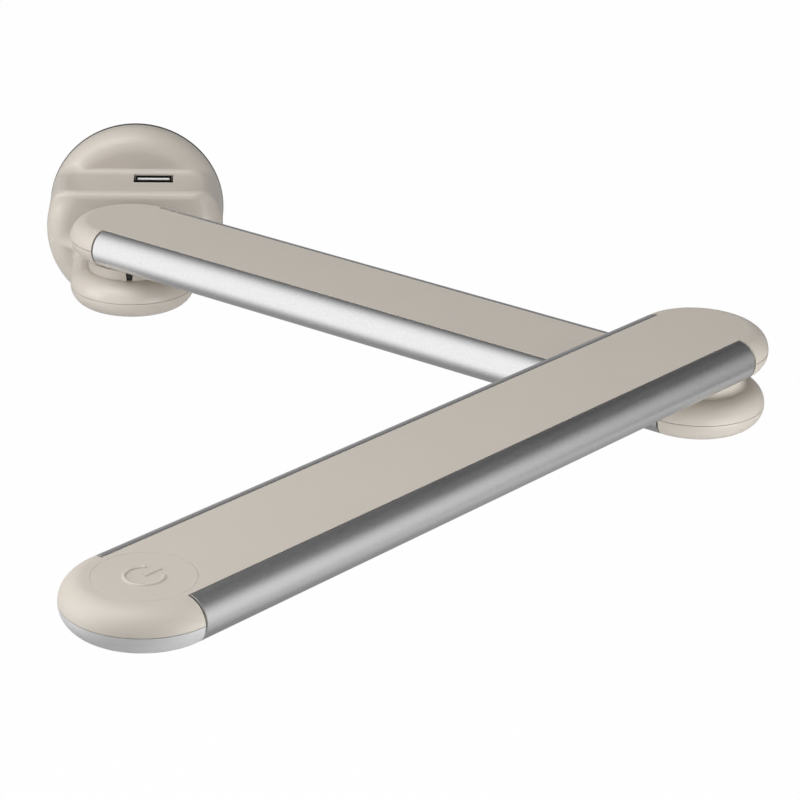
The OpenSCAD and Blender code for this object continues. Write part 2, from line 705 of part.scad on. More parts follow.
// Light arm
module light_arm_core() color("lightslategray") at_light_arm() difference() {
    union() {
        translate([channel_in, 0, 0]) along_x(light_channel_end - channel_in) core_section(light_web_z);
        core_hub();
    }
    bush_hole();
    screw_clearance(hinge_cover_screw_places);
    stand_at(core_screw_places) at_z(light_web_z) screw_hole(core_web_t);
}
module light_arm_top_shell() color("tan") at_light_arm() difference() {
    union() {
        near_cap() upper_section();
        far_cap(light_arm_l) upper_section();
        strip(-strip_sink, light_arm_l + strip_sink, inner_h);
        bosses(hinge_cover_screw_places, light_web_z + core_web_t);
        bosses(core_screw_places, light_web_z + core_web_t);
        bosses(control_screw_places, control_top);
    }
    translate([light_arm_l, 0, 0]) cylinder(r = button_r + button_gap, h = arm_t);
}
module light_arm_hinge_cover() color("tan") at_light_arm() difference() {
    union() {
        near_cap() lower_section();
        strip(-strip_sink, hinge_cover_l - seam, -half_t);
        spacers(hinge_cover_screw_places, light_web_z);
        turn_ring();
    }
    turning_hole();
    stand_at(hinge_cover_screw_places) at_z(-half_t) screw_hole(light_web_z + half_t);
}
module light_arm_front_rail() color("silver") at_light_arm() rail(light_arm_l, 1);
module light_arm_rear_rail() color("silver") at_light_arm() rail(light_arm_l, -1);
module light_arm_screws() color("gray") at_light_arm() {
    stand_at(hinge_cover_screw_places) at_z(-half_t) screw(half_t + inner_h - boss_gap);
    stand_at(core_screw_places) at_z(light_web_z) screw(inner_h - light_web_z - boss_gap);
}
module diffuser() color("gainsboro") at_light_arm() {
    far_cap(light_arm_l) lower_section();
    strip(hinge_cover_l + seam, light_arm_l + strip_sink, -half_t);
}
module led_board() color("white") at_light_arm()
    translate([hinge_cover_l + led_board_edge, -led_board_w / 2, light_web_z - led_board_t])
        cube([led_board_end - hinge_cover_l - led_board_edge, led_board_w, led_board_t]);
module leds() color("khaki") at_light_arm()
    for (x = [hinge_cover_l + 2 * led_board_edge : led_pitch : light_channel_end - led_board_edge])
        for (row = [0:led_rows - 1])
            translate([x - led_l / 2, (row - (led_rows - 1) / 2) * led_board_w / led_rows - led_w / 2,
                light_web_z - led_board_t - led_h]) cube([led_l, led_w, led_h]);

// Tip: control board, its switch and the button
module control_board() color("darkgreen") at_light_arm() difference() {
    union() {
        translate([light_arm_l, 0, light_web_z]) cylinder(r = control_half_w, h = control_t);
        translate([light_arm_l - control_back, -control_half_w, light_web_z])
            cube([control_back, 2 * control_half_w, control_t]);
    }
    screw_clearance(control_screw_places);
}
module control_board_screws() color("silver") at_light_arm() stand_at(control_screw_places)
    at_z(light_web_z) pan_screw(inner_h - light_web_z - boss_gap);
module lead_connector() color("ivory") at_light_arm()
    translate([light_arm_l - connector_in, -connector_w / 2, control_top])
        cube([connector_l, connector_w, lead_z + lead_r - control_top]);
module tact_switch() color("dimgray") at_light_arm() translate([light_arm_l, 0, control_top]) {
    translate([-tact_w / 2, -tact_w / 2, 0]) cube([tact_w, tact_w, tact_h]);
    cylinder(r = tact_plunger_r, h = button_low - button_nub_h - button_travel - fit_gap - control_top);
}
module power_button() color("tan") at_light_arm() translate([light_arm_l, 0, 0]) {
    at_z(button_step) cylinder(r = button_r, h = half_t - button_step);
    intersection() {
        union() {
            at_z(button_low) cylinder(r = button_r, h = button_step - button_low);
            at_z(button_low) cylinder(r = button_r + button_lip, h = button_lip_t);
        }
        translate([-reach, -core_half, 0]) cube([2 * reach, 2 * core_half, arm_t]);
    }
    at_z(button_low - button_nub_h) cylinder(r = button_nub_r, h = button_nub_h);
    at_z(half_t - symbol_h) linear_extrude(2 * symbol_h) power_symbol();
}
module power_symbol() {
    difference() {
        circle(symbol_r + symbol_w / 2);
        circle(symbol_r - symbol_w / 2);
        polygon([[0, 0], for (side = [-1, 1])
            symbol_r * 2 * [-cos(symbol_gap_deg / 2), side * sin(symbol_gap_deg / 2)]]);
    }
    translate([-symbol_r * symbol_stem_share, -symbol_w / 2]) square([symbol_r * symbol_stem_share, symbol_w]);
}

wall_plate();
base_housing();
knuckle_cover();
pivot_bracket();
port_shell();
port_tongue();
port_contacts();
supply_board();
supply_capacitor();
supply_coil();
terminal_block();
cover_screws();
knuckle_screws();
bracket_screws();
supply_board_screws();
feed_lead();
shoulder_shaft();
shoulder_collar();
collar_stop();
shoulder_thrust_washer();
shoulder_friction_washer();
shoulder_disc_spring();
shoulder_nut();
lower_arm_core();
lower_arm_top_shell();
lower_arm_bottom_shell();
lower_arm_front_rail();
lower_arm_rear_rail();
lower_arm_screws();
lower_arm_lead();
shoulder_bush();
elbow_shaft();
elbow_collar();
elbow_thrust_washer();
elbow_friction_washer();
elbow_disc_spring();
elbow_nut();
light_arm_core();
light_arm_top_shell();
light_arm_hinge_cover();
light_arm_front_rail();
light_arm_rear_rail();
light_arm_screws();
light_arm_lead();
elbow_bush();
diffuser();
led_board();
leds();
control_board();
control_board_screws();
lead_connector();
tact_switch();
power_button();
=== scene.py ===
import json
import math
import bmesh
import bpy
import numpy as np
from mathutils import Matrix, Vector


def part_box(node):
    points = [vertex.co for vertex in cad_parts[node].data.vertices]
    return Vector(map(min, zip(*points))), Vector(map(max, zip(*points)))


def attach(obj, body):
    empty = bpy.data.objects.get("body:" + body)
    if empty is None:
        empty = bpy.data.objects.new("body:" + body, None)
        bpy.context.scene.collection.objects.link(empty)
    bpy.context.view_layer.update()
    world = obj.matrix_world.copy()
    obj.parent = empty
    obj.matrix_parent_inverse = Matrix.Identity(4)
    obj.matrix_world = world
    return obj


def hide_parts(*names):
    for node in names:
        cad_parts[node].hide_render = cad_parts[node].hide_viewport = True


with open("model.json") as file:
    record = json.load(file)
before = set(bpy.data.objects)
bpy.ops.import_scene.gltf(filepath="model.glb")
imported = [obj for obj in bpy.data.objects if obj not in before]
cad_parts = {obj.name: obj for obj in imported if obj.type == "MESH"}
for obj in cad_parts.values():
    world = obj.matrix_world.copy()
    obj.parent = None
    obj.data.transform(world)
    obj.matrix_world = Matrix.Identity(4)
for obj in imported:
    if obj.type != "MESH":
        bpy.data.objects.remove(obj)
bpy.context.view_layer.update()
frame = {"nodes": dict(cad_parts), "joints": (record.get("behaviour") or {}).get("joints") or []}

import openvdb
from mathutils import Matrix, Vector

# The pieces are drawn in millimetres, each in the frame of its own arm, and placed in metres.
mm = 0.001
pivots = {joint["name"]: Vector(joint["pos_m"]) for joint in frame["joints"] if "pos_m" in joint}
shoulderPivot, elbowPivot = pivots["shoulder"], pivots["elbow"]
buttonLow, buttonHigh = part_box("power_button")
tipCentre = Vector(((buttonLow.x + buttonHigh.x) / 2, (buttonLow.y + buttonHigh.y) / 2, elbowPivot.z))
lowerLength = (elbowPivot - shoulderPivot).xy.length / mm
lightLength = (tipCentre - elbowPivot).length / mm


def armTurn(start, target):
    run = target - start
    return math.atan2(run.y, run.x)


def armFrame(start, target):                  # x runs along the arm
    return (Matrix.Translation(start) @ Matrix.Rotation(armTurn(start, target), 4, "Z")
            @ Matrix.Scale(mm, 4))


pitch = elbowPivot.z - shoulderPivot.z
baseFrame = Matrix.Scale(mm, 4)
knuckleFrame = (Matrix.Translation(shoulderPivot - Vector((0, 0, pitch)))
                @ Matrix.Rotation(math.radians(90), 4, "Z") @ Matrix.Scale(mm, 4))
lowerFrame = armFrame(shoulderPivot, elbowPivot)
lightFrame = armFrame(elbowPivot, tipCentre)


# Node trees

class Wire:                                   # an output socket with Python's arithmetic
    def __init__(self, graph, socket):
        self.graph, self.socket = graph, socket

    def maths(self, operation, first, second):
        return self.graph.add("ShaderNodeMath", {"operation": operation}, {0: first, 1: second})

    def __add__(self, other):
        return self.maths("ADD", self, other)

    def __sub__(self, other):
        return self.maths("SUBTRACT", self, other)

    def __rsub__(self, other):
        return self.maths("SUBTRACT", other, self)

    def __mul__(self, other):
        return self.maths("MULTIPLY", self, other)

    __radd__ = __add__
    __rmul__ = __mul__


class Graph:
    def __init__(self, tree):
        self.tree = tree

    def add(self, kind, settings=None, inputs=None, out=0):
        node = self.tree.nodes.new(kind)
        for name, value in (settings or {}).items():
            setattr(node, name, value)
        for name, value in (inputs or {}).items():
            if isinstance(value, Wire):
                self.tree.links.new(value.socket, node.inputs[name])
            else:
                node.inputs[name].default_value = value
        return Wire(self, node.outputs[out]) if len(node.outputs) else node


def objectPlace(graph):
    return graph.add("ShaderNodeTexCoord", {}, {}, "Object")


def splitVector(graph, vector):               # its x, y and z
    node = graph.add("ShaderNodeSeparateXYZ", {}, {"Vector": vector}).socket.node
    return [Wire(graph, node.outputs[i]) for i in range(3)]


def blend(graph, share, first, second):       # of two colours
    return graph.add("ShaderNodeMix", {"data_type": "RGBA"}, {"Factor": share, 6: first, 7: second}, 2)


def ramp(graph, value, start, end, atStart, atEnd):
    return graph.add("ShaderNodeMapRange", {"interpolation_type": "SMOOTHSTEP"}, {
        "Value": value, "From Min": start, "From Max": end, "To Min": atStart, "To Max": atEnd})


def grey(value):
    return (value, value, value, 1)


# Finishes
noises = {"grain": (3, 0.6), "cloud": (3, 0.55), "streak": (4, 0.6), "sheen": (2, 0.5)}   # detail, roughness
plasticIor = 1.46


def startFinish(name):
    material = bpy.data.materials.new(name)
    material.use_nodes = True
    material.node_tree.nodes.clear()
    return material, Graph(material.node_tree)


def endFinish(material, graph, shader):
    graph.add("ShaderNodeOutputMaterial", {}, {"Surface": shader})
    return material


def noise(graph, kind, place, scale):
    detail, roughness = noises[kind]
    return graph.add("ShaderNodeTexNoise", {"noise_dimensions": "3D"}, {
        "Vector": place, "Scale": scale, "Detail": detail, "Roughness": roughness}, "Fac")


def tinted(graph, colour, mask, change):
    darker = tuple(c * (1 - change) for c in colour[:3]) + (1,)
    lighter = tuple(min(1, c * (1 + change)) for c in colour[:3]) + (1,)
    return blend(graph, mask, darker, lighter)


def reliefFrom(graph, look, height):
    return graph.add("ShaderNodeBump", {}, {"Strength": look["relief"], "Distance": look["depth"],
                                            "Height": height})


def mouldedFinish(name, look):
    material, graph = startFinish(name)
    place = objectPlace(graph)
    grain = noise(graph, "grain", place, look["grainScale"])
    cloud = noise(graph, "cloud", place, look["cloudScale"])
    mask = cloud * look["cloudShare"] + grain * (1 - look["cloudShare"])
    colour = tinted(graph, look["colour"], mask, look["tint"])
    if "darkBelow" in look:                   # only the end above this height, in metres, is pale; below it the colour is painted shade
        share = graph.add("ShaderNodeMapRange", {}, {
            "Value": splitVector(graph, place)[2], "From Min": look["darkBelow"],
            "From Max": look["darkBelow"] + look["darkFade"]})
        colour = blend(graph, share, look["darkColour"], colour)
    gloss = look["roughness"] + (cloud - 0.5) * look["glossSpread"] + (grain - 0.5) * look["grainGloss"]
    return endFinish(material, graph, graph.add("ShaderNodeBsdfPrincipled", {}, {
        "Base Color": colour, "Roughness": gloss, "Normal": reliefFrom(graph, look, grain),
        "IOR": plasticIor, "Specular IOR Level": look.get("specular", 0.5)}))


def metalFinish(name, look):
    material, graph = startFinish(name)
    place = objectPlace(graph)
    along = graph.add("ShaderNodeMapping", {"vector_type": "TEXTURE"}, {
        "Vector": place, "Rotation": (0, 0, look.get("turn", 0)),
        "Scale": (look["along"], look["across"], look["across"])})
    streak = noise(graph, "streak", along, 1)
    cloud = noise(graph, "sheen", place, look["cloudScale"])
    colour = tinted(graph, look["colour"], streak, look["tint"])
    gloss = look["roughness"] + (streak - 0.5) * look["glossSpread"] + (cloud - 0.5) * look["cloudGloss"]
    return endFinish(material, graph, graph.add("ShaderNodeBsdfPrincipled", {}, {
        "Base Color": colour, "Metallic": 1.0, "Roughness": gloss,
        "Normal": reliefFrom(graph, look, streak)}))


shellLook = {"colour": (0.500, 0.460, 0.410, 1), "roughness": 0.31, "grainScale": 2600, "cloudScale": 60,
             "cloudShare": 0.5, "tint": 0.03, "glossSpread": 0.08, "grainGloss": 0.10, "relief": 0.25,
             "depth": 0.00005, "specular": 0.45}
# Arm tops: a rougher moulding with more relief than the shell, and a slightly lighter colour; the lighter
# colour is painted light on the top faces
topLook = dict(shellLook, colour=(0.515, 0.473, 0.420, 1), roughness=0.50, relief=0.35)
diffuserLook = {"colour": (0.49, 0.49, 0.49, 1), "roughness": 0.36, "grainScale": 3200, "cloudScale": 40,
                "cloudShare": 0.6, "tint": 0.02, "glossSpread": 0.05, "grainGloss": 0.08, "relief": 0.2,
                "depth": 0.00004}
plateLook = {"colour": (0.035, 0.035, 0.036, 1), "roughness": 0.55, "grainScale": 3000, "cloudScale": 50,
             "cloudShare": 0.5, "tint": 0.15, "glossSpread": 0.08, "grainGloss": 0.15, "relief": 0.5,
             "depth": 0.00008}
railLook = {"colour": (0.88, 0.88, 0.885, 1), "roughness": 0.34, "along": 0.0013, "across": 0.0006,
            "tint": 0.13, "glossSpread": 0.18, "cloudScale": 30, "cloudGloss": 0.04, "relief": 0.35,
            "depth": 0.00002}
plainMetal = {"along": 0.0006, "across": 0.0006, "tint": 0.05, "glossSpread": 0.12, "cloudScale": 200,
              "cloudGloss": 0.08, "relief": 0.3, "depth": 0.00003}
plainMoulded = {"grainScale": 2600, "cloudScale": 80, "cloudShare": 0.5, "tint": 0.05,
                "glossSpread": 0.08, "grainGloss": 0.1, "relief": 0.3, "depth": 0.00005}


def metal(red, green, blue, roughness, **others):
    return dict(plainMetal, colour=(red, green, blue, 1), roughness=roughness, **others)


def moulded(red, green, blue, roughness, **others):
    return dict(plainMoulded, colour=(red, green, blue, 1), roughness=roughness, **others)


metalLooks = {
    "lowerRail": dict(railLook, turn=armTurn(shoulderPivot, elbowPivot)),
    "lightRail": dict(railLook, turn=armTurn(elbowPivot, tipCentre)),
    "castMetal": metal(0.42, 0.43, 0.45, 0.5),
    "turnedSteel": metal(0.62, 0.62, 0.62, 0.28, along=0.02, across=0.0004),
    "screwSteel": metal(0.30, 0.30, 0.31, 0.36),
    "bushBronze": metal(0.55, 0.33, 0.15, 0.4),
    "portMetal": metal(0.020, 0.020, 0.021, 0.42),
    "contactGold": metal(0.90, 0.62, 0.25, 0.25),
    "coilCopper": metal(0.62, 0.27, 0.13, 0.35, along=0.0003, across=0.02),
}
mouldedLooks = {
    "shellPlastic": shellLook,
    "armTopPlastic": topLook,
    "diffuserPlastic": diffuserLook,
    "plateSteel": plateLook,
    # The port tongue: pale at its top end, with painted shade below it, a dark colour that stands for the
    # shade down in the slot
    "portPlastic": moulded(0.80, 0.80, 0.79, 0.4, darkBelow=0.01495, darkFade=0.0001,
                           darkColour=grey(0.012)),
    "washerPlastic": moulded(0.75, 0.72, 0.62, 0.45),
    "stopRubber": moulded(0.018, 0.018, 0.018, 0.75),
    "leadJacket": moulded(0.03, 0.03, 0.03, 0.6),
    "boardGreen": moulded(0.02, 0.11, 0.04, 0.3),
    "boardWhite": moulded(0.74, 0.74, 0.72, 0.35),
    "ledFace": moulded(0.72, 0.58, 0.16, 0.3),
    "capacitorSleeve": moulded(0.02, 0.03, 0.09, 0.3),
    "terminalPlastic": moulded(0.03, 0.25, 0.09, 0.45),
    "switchPlastic": moulded(0.05, 0.05, 0.05, 0.5),
}
finishes = {name: mouldedFinish(name, look) for name, look in mouldedLooks.items()}
finishes.update({name: metalFinish(name, look) for name, look in metalLooks.items()})
print("finishes ready:", len(finishes))

# Meshes
weldGap = 0.001
boxFaces = [(0, 1, 3, 2), (4, 6, 7, 5), (0, 4, 5, 1), (2, 3, 7, 6), (0, 2, 6, 4), (1, 5, 7, 3)]


def link(name, data):
    piece = bpy.data.objects.new(name, data)
    bpy.context.scene.collection.objects.link(piece)
    return piece


def meshPiece(name, points, faces):
    mesh = bpy.data.meshes.new(name)
    mesh.from_pydata([tuple(p) for p in points], [], faces)
    return link(name, mesh)


def faceOutwards(piece, axisEnd):
    # Turns every face of an open skin away from the line from the origin to (axisEnd, 0, 0)
    bm = bmesh.new()
    bm.from_mesh(piece.data)
    bmesh.ops.remove_doubles(bm, verts=bm.verts, dist=weldGap)
    bm.normal_update()
    for face in bm.faces:
        middle = face.calc_center_median()
        nearest = Vector((min(max(middle.x, 0), axisEnd), 0, 0))
        if face.normal.dot(middle - nearest) < 0:
            face.normal_flip()
    bm.to_mesh(piece.data)
    bm.free()


def closeUp(piece):                           # merges doubles and turns a closed mesh's faces out
    bm = bmesh.new()
    bm.from_mesh(piece.data)
    bmesh.ops.remove_doubles(bm, verts=bm.verts, dist=weldGap)
    bmesh.ops.recalc_face_normals(bm, faces=bm.faces)
    bm.to_mesh(piece.data)
    bm.free()


def bake(piece):                              # the evaluated mesh takes the place of the modifiers
    bpy.context.view_layer.update()
    solid = bpy.data.meshes.new_from_object(piece.evaluated_get(bpy.context.evaluated_depsgraph_get()))
    piece.modifiers.clear()
    piece.data = solid


def carve(piece, cutters):
    for cutter in cutters:
        step = piece.modifiers.new("cut", "BOOLEAN")
        step.operation, step.object, step.solver = "DIFFERENCE", cutter, "MANIFOLD"
    bake(piece)
    for cutter in cutters:
        bpy.data.objects.remove(cutter)


def soften(piece, width, segments=2, angle=35):
    step = piece.modifiers.new("edges", "BEVEL")
    step.width, step.segments = width, segments
    step.limit_method, step.angle_limit = "ANGLE", math.radians(angle)
    bake(piece)


def smooth(piece, angle=30):
    piece.data.shade_smooth()
    piece.data.set_sharp_from_angle(angle=math.radians(angle))
    step = piece.modifiers.new("shading", "WEIGHTED_NORMAL")
    step.keep_sharp, step.weight = True, 80
    bake(piece)


def join(piece, others):
    bm = bmesh.new()
    bm.from_mesh(piece.data)
    for other in others:
        bm.from_mesh(other.data)
    bm.to_mesh(piece.data)
    bm.free()
    for other in others:
        bpy.data.objects.remove(other)


def finishPiece(piece, place, body, finish, slot, *nodes):
    piece.data.transform(place)
    piece.data.materials.clear()
    piece.data.materials.append(finishes[finish])
    piece.data.update()
    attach(piece, body)
    if nodes:
        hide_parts(*nodes)
    print("piece", piece.name, "triangles", sum(len(p.vertices) - 2 for p in piece.data.polygons))


def solidPiece(name, points, faces, place=None):
    piece = meshPiece(name, points, faces)
    closeUp(piece)
    if place is not None:
        piece.data.transform(place)
    return piece


def lathe(name, outline, steps, place=None):   # closed outline of (radius, height), round the z axis
    points, faces, count = [], [], len(outline)
    for i in range(steps):
        turn = 2 * math.pi * i / steps
        points += [(r * math.cos(turn), r * math.sin(turn), z) for r, z in outline]
    for i in range(steps):
        a, b = i * count, (i + 1) % steps * count
        for j in range(count):
            k = (j + 1) % count
            if outline[j][0] > 0 or outline[k][0] > 0:
                faces.append((a + j, b + j, b + k, a + k))
    return solidPiece(name, points, faces, place)


def drum(radius, low, high, steps, place=None):
    return lathe("cutter", [(0, low), (radius, low), (radius, high), (0, high)], steps, place)


def block(low, high):
    x, y, z = zip(low, high)
    points = [(x[i], y[j], z[k]) for i in (0, 1) for j in (0, 1) for k in (0, 1)]
    return solidPiece("cutter", points, boxFaces)


def prism(outline, low, high, place):         # outline of (x, y), run from z = low to z = high
    count = len(outline)
    points = [(x, y, low) for x, y in outline] + [(x, y, high) for x, y in outline]
    faces = [tuple(range(count)), tuple(range(count, 2 * count))]
    faces += [(i, (i + 1) % count, count + (i + 1) % count, count + i) for i in range(count)]
    return solidPiece("cutter", points, faces, place)


def arcPoints(centre, radius, start, end, steps):
    turns = [math.radians(start + (end - start) * i / steps) for i in range(steps + 1)]
    return [(centre[0] + radius * math.cos(t), centre[1] + radius * math.sin(t)) for t in turns]


def move(x, y, z):
    return Matrix.Translation((x, y, z))


# Section that the arms and the knuckle share
section = {"halfThickness": 6.2, "halfWidth": 21.0, "wall": 1.6, "seam": 0.08, "partingTop": 0.2,
           "partingLow": 0.05, "edge": 0.18, "capSteps": 96, "arcSteps": 18}
flatHalf = section["halfWidth"] - section["halfThickness"]
stripHalf = flatHalf - section["seam"]
holes = {"shaft": 6.55, "steps": 64, "through": 12}
sink = {"radius": 2.65, "hole": 1.6, "rimDepth": 0.3, "coneDepth": 1.7, "depth": 3, "over": 1, "steps": 40}


def capProfile(flat, top):                    # (radius, height) from the flat's edge to the parting line
    t = section["halfThickness"]
    parting, start = (section["partingTop"], 90) if top else (section["partingLow"], -90)
    return arcPoints((flat, 0), t, start, math.degrees(math.asin(parting / t)), section["arcSteps"])


def thicken(piece, axisEnd):
    faceOutwards(piece, axisEnd)
    step = piece.modifiers.new("wall", "SOLIDIFY")
    step.thickness, step.offset, step.use_even_offset = section["wall"], -1, True
    bake(piece)
    return piece


def skin(name, top, start, end, nearCap, farCap):
    # A moulded half shell: round caps and the flat strip between them
    profile, steps = capProfile(flatHalf, top), section["capSteps"]
    points, faces, outline = [], [], []

    def cap(x, first, last):
        offset = len(points)
        for i in range(steps + 1):
            turn = math.radians(first + (last - first) * i / steps)
            points.extend((x + r * math.cos(turn), r * math.sin(turn), z) for r, z in profile)
        for i in range(steps):
            for j in range(len(profile) - 1):
                a, b = offset + i * len(profile) + j, offset + (i + 1) * len(profile) + j
                faces.append((a, b, b + 1, a + 1))
        outline.extend(offset + i * len(profile) for i in range(steps + 1))

    def corner(x, y):
        points.append((x, y, profile[0][1]))
        outline.append(len(points) - 1)

    corner(end, -stripHalf)
    if farCap:
        cap(end, -90, 90)
    corner(end, stripHalf)
    corner(start, stripHalf)
    if nearCap:
        cap(start, 90, 270)
    corner(start, -stripHalf)
    faces.append(tuple(outline))
    return thicken(meshPiece(name, points, faces), end)


def finishSkin(piece, place, body, finish, slot, *nodes):
    soften(piece, section["edge"])
    smooth(piece)
    finishPiece(piece, place, body, finish, slot, *nodes)


def sinkCutter(place, depth):                 # room for a countersunk screw, inwards along local z
    s = sink
    return lathe("cutter", [(0, -s["over"]), (s["radius"], -s["over"]), (s["radius"], s["rimDepth"]),
                            (s["hole"], s["coneDepth"]), (s["hole"], depth), (0, depth)], s["steps"], place)


def sinksUnder(places):                       # in a lower shell's flat face
    return [sinkCutter(move(x, y, -section["halfThickness"]), sink["depth"]) for x, y in places]


def shaftHole(place):
    return drum(holes["shaft"], 0, holes["through"], holes["steps"], place)


# Wall base: one moulding with the upper half of the knuckle, as a distance field
baseSizes = {"radius": 31.0, "depth": 31.5, "upperDepth": 10.5, "shelf": 15.8, "faceRim": 7.7,
             "sideRim": 3.0, "leastRim": 0.8, "shelfRound": 2.8, "shelfFillet": 2.4, "blendSpan": 9.0,
             "wall": 2.2, "back": -1.4, "knuckleFlat": 15.1, "knuckleOut": 54.6, "knuckleZ": -9.2,
             "neckTop": 7.6, "neckSide": 0.5, "neckFrom": 1, "neckRise": 5, "smoothAngle": 32}
field = {"voxel": 0.55, "low": (-32.2, -77.2, -32.2), "high": (32.2, 3.0, 32.2), "pulls": 4,
         "innerVoxel": 1.1, "innerLow": (-30, -31, -30), "innerHigh": (30, 5, 30),
         "background": 4.0, "nudge": 0.01, "leastSlope": 0.2}


def roundJoin(a, b, r):
    return np.maximum(r, np.minimum(a, b)) - np.hypot(np.maximum(r - a, 0), np.maximum(r - b, 0))


def roundMeet(a, b, r):
    return np.minimum(-r, np.maximum(a, b)) + np.hypot(np.maximum(r + a, 0), np.maximum(r + b, 0))


def ease(t):
    t = np.clip(t, 0, 1)
    return t * t * (3 - 2 * t)


def baseForm(x, y, z, inset=0.0):             # a drum with a shelf, its rim rounder on the faces
    s = baseSizes
    front = -y - s["depth"] + inset
    over = z - s["shelf"] + inset
    lower = roundMeet(front, over, max(s["shelfRound"] - inset, s["leastRim"]))
    upper = -y - s["upperDepth"] + inset
    step = roundJoin(upper, lower, s["shelfFillet"] + inset)
    lowerFace = ease((front - over) / s["blendSpan"] + 0.5)
    upperFace = ease((lower - upper) / s["blendSpan"] + 0.5)
    share = lowerFace + (1 - lowerFace) * upperFace
    rim = np.maximum(s["sideRim"] + (s["faceRim"] - s["sideRim"]) * share - inset, s["leastRim"])
    return roundMeet(np.hypot(x, z) - s["radius"] + inset, step, rim)


def knuckleForm(x, y, z):
    s = baseSizes
    beyond = np.where(y < -s["knuckleOut"], np.hypot(x, y + s["knuckleOut"]), np.abs(x))
    return np.hypot(np.maximum(beyond - s["knuckleFlat"], 0), z - s["knuckleZ"]) - section["halfThickness"]


def housingForm(x, y, z):
    s = baseSizes
    rise = ease((z - s["knuckleZ"] - s["neckFrom"]) / s["neckRise"])
    return roundJoin(baseForm(x, y, z), knuckleForm(x, y, z),
                     s["neckSide"] + (s["neckTop"] - s["neckSide"]) * rise)


def housingHollow(x, y, z):
    return baseForm(x, y, z, baseSizes["wall"])


def fieldPiece(name, form, low, high, voxel, pulls):
    counts = [int(math.ceil((b - a) / voxel)) + 1 for a, b in zip(low, high)]
    axes = [a + voxel * np.arange(n) for a, n in zip(low, counts)]
    grid = openvdb.FloatGrid(background=field["background"])
    grid.copyFromArray(form(*np.meshgrid(*axes, indexing="ij")).astype(np.float32))
    points, quads = grid.convertToQuads(isovalue=0.0)
    points = np.array(low) + voxel * np.asarray(points, float)
    nudge = field["nudge"]
    for _ in range(pulls):                    # pulls each point onto the form
        slope = np.stack([(form(*(points + shift).T) - form(*(points - shift).T)) / (2 * nudge)
                          for shift in np.eye(3) * nudge], axis=1)
        pull = form(*points.T) / np.maximum((slope ** 2).sum(1), field["leastSlope"])
        points -= slope * np.clip(pull, -voxel / 3, voxel / 3)[:, None]
    piece = meshPiece(name, points, [tuple(int(i) for i in q) for q in quads])
    bm = bmesh.new()
    bm.from_mesh(piece.data)
    bmesh.ops.recalc_face_normals(bm, faces=bm.faces)
    if bm.calc_volume(signed=True) < 0:
        bmesh.ops.reverse_faces(bm, faces=bm.faces)
    bm.to_mesh(piece.data)
    bm.free()
    return piece


housing = fieldPiece("baseHousing", housingForm, field["low"], field["high"], field["voxel"],
                     field["pulls"])
hollow = fieldPiece("cutter", housingHollow, field["innerLow"], field["innerHigh"],
                    field["innerVoxel"], 0)
coverScrews = {"turns": (-60, -120), "out": 6.4, "depth": 4}


def coverScrewFrame(turn):                    # local z runs inwards from the base's round side
    a = math.radians(turn)
    out = Vector((math.cos(a), 0, math.sin(a)))
    side = Vector((0, 1, 0))
    rows = Matrix((side, (-out).cross(side), -out)).transposed().to_4x4()
    return Matrix.Translation(out * baseSizes["radius"] - side * coverScrews["out"]) @ rows


knuckleCut = {"radius": 19.4, "back": 26, "half": 4.6, "edge": 3.8, "edgeSteps": 5, "steps": 64}
port = {"x": 6.4, "width": 13.9, "near": 12.0, "depth": 8.4, "low": 8, "high": 20}
plainCut = {"aside": 40, "front": -90, "under": -50, "behind": 20, "gap": 0.02}
knuckleAxis = move(0, -baseSizes["knuckleOut"], baseSizes["knuckleZ"])
knuckleHollow = prism(arcPoints((0, 0), knuckleCut["radius"], 90, 270, knuckleCut["steps"])
                      + [(knuckleCut["back"], -knuckleCut["radius"]),
                         (knuckleCut["back"], knuckleCut["radius"])],
                      -knuckleCut["half"], knuckleCut["half"],
                      knuckleAxis @ Matrix.Rotation(math.radians(90), 4, "Z"))
soften(knuckleHollow, knuckleCut["edge"], knuckleCut["edgeSteps"])
underParting = block((-plainCut["aside"], plainCut["front"], plainCut["under"]),
                     (plainCut["aside"], -baseSizes["depth"] - plainCut["gap"],
                      baseSizes["knuckleZ"] + section["partingTop"]))
backOff = block((-plainCut["aside"], baseSizes["back"], -plainCut["aside"]),
                (plainCut["aside"], plainCut["behind"], plainCut["aside"]))
portCut = block((port["x"] - port["width"] / 2, -port["near"] - port["depth"], port["low"]),
                (port["x"] + port["width"] / 2, -port["near"], port["high"]))
carve(housing, [hollow, knuckleHollow, underParting, backOff, portCut, shaftHole(knuckleAxis)]
      + [sinkCutter(coverScrewFrame(turn), coverScrews["depth"]) for turn in coverScrews["turns"]])
smooth(housing, baseSizes["smoothAngle"])
finishPiece(housing, baseFrame, "wall_base", "shellPlastic", "shell_plastic", "base_housing")

# Seal ring, the dark line round the wall plate
sealRing = {"outer": 31.12, "inner": 29.6, "back": 0.05, "front": 1.3, "edge": 0.12, "steps": 160}


def sealOutline():
    s = sealRing
    return [(s["inner"], s["back"]), (s["outer"] - s["edge"], s["back"]),
            (s["outer"], s["back"] + s["edge"]), (s["outer"], s["front"] - s["edge"]),
            (s["outer"] - s["edge"], s["front"]), (s["inner"], s["front"])]


seal = lathe("wallSeal", sealOutline(), sealRing["steps"])
smooth(seal)
finishPiece(seal, baseFrame @ Matrix.Rotation(math.radians(90), 4, "X"), "wall_base", "plateSteel",
            "plate_steel")
print("wall base ready")

# Knuckle's lower half, cut square where it meets the base
knuckle = {"end": 22.9, "screwRadius": 14.6, "screwTurns": (180, 75, -75)}
knuckleScrews = [(knuckle["screwRadius"] * math.cos(math.radians(a)),
                  knuckle["screwRadius"] * math.sin(math.radians(a))) for a in knuckle["screwTurns"]]


